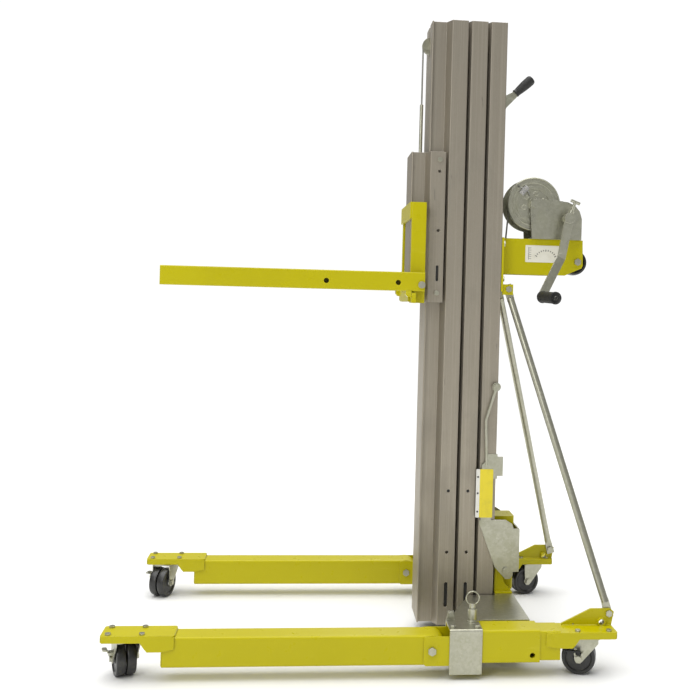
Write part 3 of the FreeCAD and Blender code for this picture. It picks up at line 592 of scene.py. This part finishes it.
def drum_faces():
    """Rolled rim, pressed ring and lightening dimples of the near flange, and the rolled far rim."""
    mesh = bmesh.new()
    for x, way in ((0.0498, 1), (-0.0338, -1)):
        place = basis((x, DRUM_AT.y, DRUM_AT.z), X * way)
        lip = [(0.0735, -0.0005), (0.0768, -0.0005), (0.0768, 0.0012), (0.0760, 0.0024), (0.0748, 0.0030),
               (0.0737, 0.0026), (0.0731, 0.0014)]
        lathe(mesh, lip, place, 96)
    place = basis((0.0498, DRUM_AT.y, DRUM_AT.z), X)
    lathe(mesh, [(0.0590, -0.0004), (0.0640, -0.0004), (0.0632, 0.0010), (0.0615, 0.0016), (0.0598, 0.0010)], place, 96)
    for k in range(6):
        a = math.radians(60 * k + 20)
        spot = Vector((0.0498, DRUM_AT.y + 0.030 * math.cos(a), DRUM_AT.z + 0.030 * math.sin(a)))
        lathe(mesh, [(0.0052, -0.0004), (0.0076, -0.0004), (0.0074, 0.0006), (0.0064, 0.0012), (0.0054, 0.0006)],
              basis(spot, X), 24)
    piece("drum_flange_rims", mesh, "zinc_steel", "drum", 40)


def drum_rope_clamp():
    """Saddle clamp with two nuts and the tail of the rope that it holds on the near flange."""
    at = Vector((0.0502, DRUM_AT.y - 0.030, DRUM_AT.z + 0.038))
    along = Vector((0, 0.62, 0.78)).normalized()
    across = X.cross(along)
    mesh = bmesh.new()
    place = basis(at + X * 0.0042, X, along)
    slab(mesh, rounded_outline(-0.015, 0.015, -0.0075, 0.0075, 0.003), place, 0.0020, 0.0006)
    for s in (1, -1):
        spot = at + X * 0.0062 + along * s * 0.0100
        hexagon(mesh, spot, X, 0.0085, 0.0032, 15 + 10 * s)
        tube(mesh, [at + along * s * 0.0100, at + along * s * 0.0100 + X * 0.0100], 0.0022, 12)
    piece("drum_rope_clamp", mesh, "bright_steel", "drum", 35)
    mesh = bmesh.new()
    start = at + X * 0.0024 - across * 0.022 - along * 0.004
    path = []
    for k in range(25):
        t = k / 24
        bend = math.sin(t * math.pi) * 0.004
        path.append(start + across * 0.036 * t + along * (0.006 * math.sin(3.2 * t) + 0.004) + X * bend * 0.3)
    tube(mesh, path, [0.0021] * 24 + [0.0016], 10)
    frayed = path[-1]
    for k in range(7):
        a = 2 * math.pi * k / 7
        tip = frayed + across * 0.009 + (along * math.cos(a) + X * abs(math.sin(a))) * 0.0035
        tube(mesh, [frayed - across * 0.001, frayed.lerp(tip, 0.5) + X * 0.0005, tip], 0.0005, 6)
    piece("drum_rope_tail", mesh, "wire_rope", "drum", 40)


def crank_grip():
    j = joint("grip_spin")
    base, axis = axis_frame(j)
    start = 4.7 * MM
    profile = [(11.0, 0.0), (15.0, 0.0), (17.0, 0.8), (17.5, 2.4), (17.2, 4.6), (15.9, 6.4), (15.2, 9.0)]
    for k in range(13):
        h = 13 + k * 5.6
        profile += [(15.3, h), (15.95, h + 1.4), (15.95, h + 3.4), (15.3, h + 4.8)]
    profile += [(15.4, 87.0), (16.6, 89.2), (17.4, 91.5), (17.4, 93.8), (16.4, 95.6), (14.2, 96.0), (13.0, 94.8),
                (11.2, 93.2), (9.0, 93.0)]
    mesh = bmesh.new()
    outer = [(r * MM, start + h * MM) for r, h in profile]
    ring = outer + [(5.3 * MM, start + 93.0 * MM), (5.3 * MM, start)]
    lathe(mesh, ring, basis(base, axis), 56)
    grip = piece("crank_grip_ribbed", mesh, "black_grip", "grip", 40)
    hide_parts("crank_grip")
    mesh = bmesh.new()
    end = base + axis * 98.2 * MM
    washer(mesh, end, axis, 5.05 * MM, 9.0 * MM, 1.2 * MM)
    capped_lathe(mesh, [(5.4 * MM, 0), (5.4 * MM, 1.6 * MM), (4.6 * MM, 2.8 * MM), (2.6 * MM, 3.5 * MM)],
                 basis(end + axis * 1.3 * MM, axis), 24)
    piece("crank_spindle_cap", mesh, "black_grip", "winch_crank", 35)


def push_grip():
    low, high = box_of("push_grip")
    axis = Vector((0, 45, 42)).normalized()
    centre = (low + high) / 2
    profile = [(9.6, -33.0), (10.6, -33.0), (11.3, -32.2), (11.5, -30.5), (11.2, -29.0), (10.7, -28.0)]
    for k in range(15):
        t = k / 14
        h = -26 + 48 * t
        swell = 11.0 + 3.2 * math.sin(min(1.0, t * 1.15) * math.pi / 2)
        profile += [(swell - 0.35, h), (swell + 0.10, h + 0.9), (swell + 0.10, h + 2.0), (swell - 0.35, h + 2.9)]
    profile += [(13.9, 26.0), (13.0, 29.2), (10.8, 31.6), (7.2, 32.9), (3.0, 33.0)]
    mesh = capped_lathe(bmesh.new(), [(r * MM, h * MM) for r, h in profile], basis(centre, axis), 48)
    grip = piece("push_handle_grip", mesh, "black_grip", "frame", 40)
    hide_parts("push_grip")


def load_wheel():
    low, high = box_of("load_wheel")
    centre = (low + high) / 2
    r = (high.z - low.z) / 2
    profile = [(6.3, -22), (13.5, -22), (14, -21.2), (15, -17.5), (26, -16.8), (28.5, -19.5), (29.5, -21.4), (31, -22)]
    for k in range(1, 10):
        a = math.pi * k / 10
        profile.append((r / MM - 5 + 5 * math.sin(a) ** 0.6, -22 * math.cos(a)))
    profile += [(p[0], -p[1]) for p in reversed(profile[:8])]
    mesh = lathe(bmesh.new(), [(a * MM, h * MM) for a, h in profile], basis(centre, X), 64)
    for s in (1, -1):
        place = basis(centre + X * s * 22.2 * MM, X * s)
        hub = [(6.3, 0), (13.4, 0), (13.4, 21.2), (12.6, 21.8), (6.3, 21.8)]
        lathe(mesh, [(a * MM, h * MM) for a, h in hub], place, 40)
    wheel = piece("loading_wheel_tyre", mesh, "black_tread", "loading_wheel", 32)
    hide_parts("load_wheel")


def winch_decal():
    """Blank pale plate on the bracket's side with a plain arc of tick marks."""
    x, y0, y1, z0, z1 = 0.0551, 0.452, 0.553, 1.072, 1.121
    place = basis((x, 0, 0), X, Y)
    mesh = slab(bmesh.new(), rounded_outline(y0, y1, z0, z1, 0.003), place, 0.0004, 0.0002)
    piece("bracket_plate", mesh, "decal_cream", "frame", 25)
    mesh = bmesh.new()
    cy, cz, r = 0.512, 1.074, 0.034
    for k in range(11):
        a = math.radians(150 - 12 * k)
        size = 0.0046 if k % 5 == 0 else 0.0032
        spot = Vector((x + 0.0004, cy + r * math.cos(a), cz + r * math.sin(a)))
        out = Vector((0, math.cos(a), math.sin(a)))
        slab(mesh, [(-size, -0.0011), (size * 0.3, -0.0011), (size * 0.3, 0.0011), (-size, 0.0011)],
             basis(spot, X, out), 0.0002, 0.0)
    for k in range(6):
        spot = Vector((x + 0.0004, 0.4665, 1.082 + 0.0062 * k))
        slab(mesh, [(-0.0005, -0.003), (0.0005, -0.003), (0.0005, 0.003), (-0.0005, 0.003)],
             basis(spot, X, Z), 0.0002, 0.0)
    slab(mesh, [(-0.0006, -0.018), (0.0006, -0.018), (0.0006, 0.018), (-0.0006, 0.018)],
         basis((x + 0.0004, 0.4618, 1.0975), X, Y), 0.0002, 0.0)
    piece("bracket_plate_ticks", mesh, "print_black", "frame", 25)


def hold_down_tag():
    """Blank two-tone tag laid flat on the flat strap of the hold-down bar."""
    low, high = box_of("hold_down_bar")
    x = high.x - 4.4 * MM
    for name, y0, y1, colour in (("hold_down_tag_band", 0.3300, 0.3677, "tag_yellow"),
                                 ("hold_down_tag_strip", 0.3190, 0.3298, "tag_white")):
        mesh = slab(bmesh.new(), rounded_outline(y0, y1, 0.345, 0.482, 0.0025), basis((x, 0, 0), X, Y), 0.0010, 0.0003)
        piece(name, mesh, colour, "hold_down", 25)
    mesh = bmesh.new()
    for z in (0.362, 0.414, 0.460):
        hexagon(mesh, (x + 0.0008, 0.3245, z), X, 0.0052, 0.0006)
    piece("hold_down_tag_rivets", mesh, "print_black", "hold_down", 35)


# ------------------------------------------------------------------ welds

def welds():
    front, rear, rails, winch = bmesh.new(), bmesh.new(), bmesh.new(), bmesh.new()
    legs = {name: bmesh.new() for name in ("left", "right")}
    for s, name in ((1, "left"), (-1, "right")):
        inner, outer = 0.3250 * s, 0.3960 * s
        mesh = legs[name]
        bead(mesh, (inner, -0.5005, 0.0400), (inner, -0.5005, 0.1060), 1.6 * MM)
        bead(mesh, (outer, -0.5005, 0.0400), (outer, -0.5005, 0.0760), 1.6 * MM)
        bead(mesh, (0.3300 * s, -0.4703, 0.1135), (0.3910 * s, -0.4703, 0.1135), 2.0 * MM)
        piece("leg_weld_" + name, mesh, "weld", "leg_" + name, 60)
        bead(rear, (0.3338 * s, 0.5160, 0.1172), (0.3338 * s, 0.6460, 0.1172), 1.9 * MM)
        bead(rear, (0.3402 * s, 0.5160, 0.1172), (0.3402 * s, 0.6460, 0.1172), 1.9 * MM)
        bead(winch, (0.0555 * s, 0.3835, 1.0400), (0.0555 * s, 0.3835, 1.1360), 2.0 * MM)
        bead(winch, (0.0880 * s, 0.3835, 0.9855), (0.0880 * s, 0.3835, 1.0030), 1.6 * MM)
        for z in (0.9520, 0.9950, 1.1820, 1.2240):
            bead(rails, (0.1262 * s, 0.1125, z), (0.1425 * s, 0.1125, z), 1.3 * MM)
        bead(front, (0.0385 * s, 0.3900, 0.1315), (0.0385 * s, 0.4340, 0.1315), 1.8 * MM)
    piece("gusset_welds", rear, "weld", "frame", 60)
    piece("bracket_welds", winch, "weld", "frame", 60)
    piece("pillar_foot_welds", front, "weld", "frame", 60)
    piece("fork_frame_welds", rails, "weld", "lift_carriage", 60)


winch_gears()
drum_faces()
drum_rope_clamp()
crank_grip()
push_grip()
load_wheel()
winch_decal()
hold_down_tag()
welds()


# ------------------------------------------------------------------ stage, light and camera

def floor():
    mesh = bmesh.new()
    size, z = 30.0, CAD_BOX[0].z - 0.2 * MM
    mesh.faces.new([mesh.verts.new((x * size, y * size, z)) for x, y in ((-1, -1), (1, -1), (1, 1), (-1, 1))])
    data = bpy.data.meshes.new("floor")
    mesh.to_mesh(data)
    mesh.free()
    s = Surface("pale_floor", (0.86, 0.86, 0.85), specular=0.2)
    s.tint(s.level(s.noise(3, 3), 0.4, 0.7), (0.83, 0.83, 0.82), 0.4)
    data.materials.append(s.finish(s.level(s.noise(12, 3), 0.3, 0.7, 0.6, 0.7)))
    obj = bpy.data.objects.new("floor", data)
    bpy.context.scene.collection.objects.link(obj)


def area_light(name, at, target, size, watts, color=(1, 1, 1)):
    light = bpy.data.lights.new(name, "AREA")
    light.shape, light.size, light.energy, light.color = "DISK", size, watts, color
    obj = bpy.data.objects.new(name, light)
    obj.location = at
    obj.rotation_mode = "QUATERNION"
    obj.rotation_quaternion = (Vector(target) - Vector(at)).to_track_quat("-Z", "Y")
    bpy.context.scene.collection.objects.link(obj)


def overhead_light(name, source, strength):
    """Large even light from above, so that the floor is equally pale everywhere."""
    light = bpy.data.lights.new(name, "SUN")
    light.energy, light.angle = strength, math.radians(70)
    obj = bpy.data.objects.new(name, light)
    obj.rotation_mode = "QUATERNION"
    obj.rotation_quaternion = (-Vector(source)).to_track_quat("-Z", "Y")
    bpy.context.scene.collection.objects.link(obj)


def world():
    w = bpy.data.worlds.new("studio")
    bpy.context.scene.world = w
    w.use_nodes = True
    tree = w.node_tree
    background = tree.nodes["Background"]
    background.inputs["Color"].default_value = (1, 1, 1, 1)
    path = tree.nodes.new("ShaderNodeLightPath")
    strength = tree.nodes.new("ShaderNodeMapRange")
    strength.inputs["To Min"].default_value = 0.34
    strength.inputs["To Max"].default_value = 1.05
    tree.links.new(path.outputs["Is Camera Ray"], strength.inputs["Value"])
    tree.links.new(strength.outputs["Result"], background.inputs["Strength"])


def camera():
    """A shifted lens at chest height, beside the machine and a little in front of it."""
    location = Vector((2.9654, -0.1567, 0.9787))
    yaw, pitch, roll = 0.1046, 0.0030, 0.0271
    forward = Vector((-math.cos(yaw) * math.cos(pitch), math.sin(yaw) * math.cos(pitch), -math.sin(pitch)))
    right = forward.cross(Z).normalized()
    up = right.cross(forward)
    right2 = right * math.cos(roll) + up * math.sin(roll)
    up2 = -right * math.sin(roll) + up * math.cos(roll)
    data = bpy.data.cameras.new("view")
    data.sensor_width = 36.0
    data.lens = 52.827
    data.shift_x, data.shift_y = -0.0992, -0.0791
    data.clip_end = 100.0
    obj = bpy.data.objects.new("view", data)
    turn = Matrix((right2, up2, -forward)).transposed().to_4x4()
    turn.translation = location
    obj.matrix_world = turn
    bpy.context.scene.collection.objects.link(obj)
    bpy.context.scene.camera = obj


floor()
world()
overhead_light("overhead", (0.25, -0.45, 3.0), 3.1)
area_light("side", (3.4, -2.2, 2.4), (0, 0, 1.2), 1.8, 34)
area_light("back", (-3.2, 0.8, 2.8), (0, 0, 0.8), 2.4, 30)
camera()
bpy.context.scene.view_settings.view_transform = "Standard"
